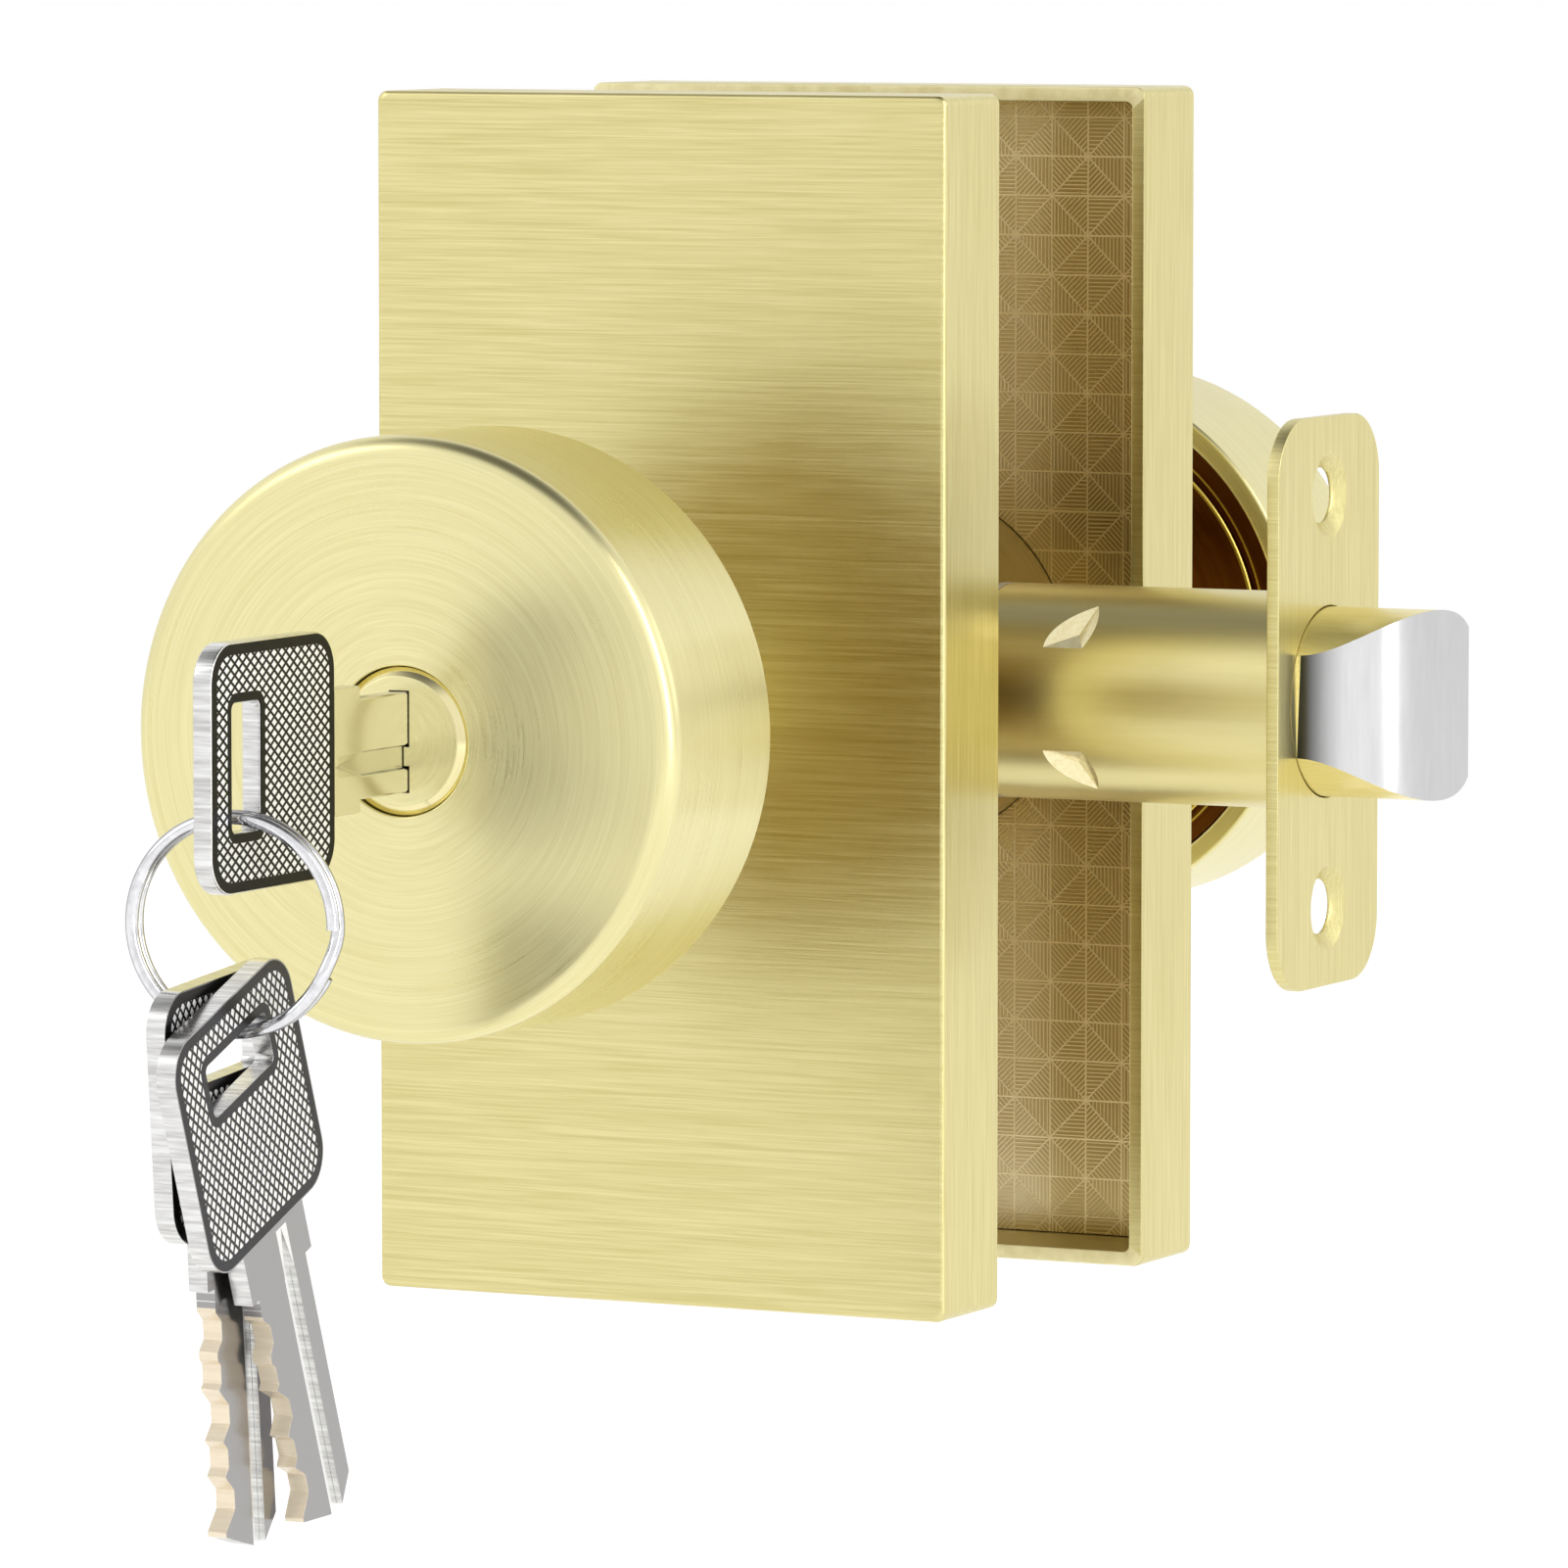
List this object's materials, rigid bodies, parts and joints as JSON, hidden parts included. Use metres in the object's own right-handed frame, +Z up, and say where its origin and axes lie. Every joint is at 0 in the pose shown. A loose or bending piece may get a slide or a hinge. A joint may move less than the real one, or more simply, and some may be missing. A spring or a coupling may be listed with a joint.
{
  "type": "entry door knob lock",
  "caption": "Keyed knob lock for a door: round knobs on rectangular rosettes, a spring latch with a curved bolt, and keys on a ring.",
  "frame": {"origin": "where the knob axis crosses the latch axis, at the middle of the door's thickness", "axes": "+X along the latch toward the door's edge, +Y through the door toward the inside, +Z up"},
  "size_m": [0.1045, 0.2253, 0.1343],
  "materials": {
    "satin_brass": "satin brushed brass",
    "tube_brass": "smooth semi-gloss brass",
    "warm_brass": "smooth brass",
    "liner_brass": "etched brass plate",
    "dark_bronze": "polished dark bronze",
    "bolt_brass": "smooth brass with a satin chrome nose",
    "key_nickel": "nickel-plated, knurled bow",
    "ring_chrome": "polished",
    "zinc_steel": "zinc-plated",
    "spring_steel": "bare spring wire"
  },
  "bodies": {
    "lock_frame": {"exterior_rosette": "satin_brass", "exterior_liner": "liner_brass", "exterior_housing": "warm_brass", "exterior_cap": "warm_brass", "exterior_spring": "spring_steel", "interior_rosette": "satin_brass", "interior_liner": "liner_brass", "interior_housing": "warm_brass", "interior_cap": "warm_brass", "interior_spring": "spring_steel", "upper_post": "warm_brass", "lower_post": "warm_brass", "upper_bolt": "zinc_steel", "lower_bolt": "zinc_steel", "latch_tube": "tube_brass", "latch_faceplate": "satin_brass", "latch_case": "zinc_steel"},
    "exterior_knob": {"exterior_knob_shell": "satin_brass", "exterior_knob_back": "warm_brass", "exterior_neck": "tube_brass", "exterior_retainer": "spring_steel", "spindle": "zinc_steel", "cylinder_housing": "warm_brass"},
    "interior_knob": {"interior_knob_shell": "satin_brass", "interior_knob_back": "dark_bronze", "interior_neck": "tube_brass", "interior_retainer": "spring_steel", "interior_core": "warm_brass"},
    "plug": {"cylinder_plug": "satin_brass", "tailpiece": "zinc_steel"},
    "key": {"inserted_key": "key_nickel"},
    "ring": {"key_ring": "ring_chrome"},
    "spare_a": {"spare_key_a": "key_nickel"},
    "spare_b": {"spare_key_b": "key_nickel"},
    "privacy_turn": {"turn_button": "satin_brass", "button_stem": "zinc_steel"},
    "cam": {"latch_cam": "warm_brass"},
    "bolt": {"latch_bolt": "bolt_brass", "bolt_stem": "zinc_steel", "bolt_spring": "spring_steel", "plunger_spring": "spring_steel"},
    "deadlatch": {"deadlatch_plunger": "ring_chrome"}
  },
  "joints": [
    {"name": "exterior_knob_turn", "type": "hinge", "parent": "lock_frame", "child": "exterior_knob", "pos_m": [0, -0.03, 0], "axis": [0, 1, 0], "range_deg": [0, 75], "stiffness_Nm_per_rad": 0.2, "springref_deg": -17.19},
    {"name": "interior_knob_turn", "type": "hinge", "parent": "lock_frame", "child": "interior_knob", "pos_m": [0, 0.03, 0], "axis": [0, 1, 0], "range_deg": [0, 75], "stiffness_Nm_per_rad": 0.2, "springref_deg": -17.19},
    {"name": "cam_turn", "type": "hinge", "parent": "lock_frame", "child": "cam", "pos_m": [0, 0, 0], "axis": [0, 1, 0], "range_deg": [0, 75]},
    {"name": "bolt_draw", "type": "slide", "parent": "lock_frame", "child": "bolt", "axis": [1, 0, 0], "range_m": [-0.0127, 0], "stiffness_N_per_m": 150, "springref_m": 0.01, "deforming": ["bolt_spring"]},
    {"name": "plunger_press", "type": "slide", "parent": "bolt", "child": "deadlatch", "axis": [1, 0, 0], "range_m": [-0.0055, 0], "stiffness_N_per_m": 60, "springref_m": 0.01, "deforming": ["plunger_spring"]},
    {"name": "plug_turn", "type": "hinge", "parent": "exterior_knob", "child": "plug", "pos_m": [0, -0.0847, 0], "axis": [0, 1, 0], "range_deg": [0, 90]},
    {"name": "privacy_button_turn", "type": "hinge", "parent": "interior_knob", "child": "privacy_turn", "pos_m": [0, 0.0847, 0], "axis": [0, 1, 0], "range_deg": [0, 90]},
    {"name": "key_slide", "type": "slide", "parent": "plug", "child": "key", "axis": [0, 1, 0], "range_m": [-0.02, 0.009]},
    {"name": "ring_swing", "type": "hinge", "parent": "key", "child": "ring", "pos_m": [0, -0.11695, -0.00465], "axis": [1, 0, 0], "range_deg": [-60, 6]},
    {"name": "spare_key_a_swing", "type": "hinge", "parent": "ring", "child": "spare_a", "pos_m": [0, -0.11695, -0.02465], "axis": [1, 0, 0], "range_deg": [-40, 5]},
    {"name": "spare_key_b_swing", "type": "hinge", "parent": "ring", "child": "spare_b", "pos_m": [0, -0.11695, -0.02465], "axis": [1, 0, 0], "range_deg": [-30, 15]}
  ],
  "couplings": [
    {"joint": "interior_knob_turn", "follows": "exterior_knob_turn", "ratio": 1},
    {"joint": "cam_turn", "follows": "exterior_knob_turn", "ratio": 1},
    {"joint": "bolt_draw", "follows": "exterior_knob_turn", "m_per_rad": -0.009702},
    {"joint": "privacy_button_turn", "follows": "plug_turn", "ratio": 1}
  ]
}
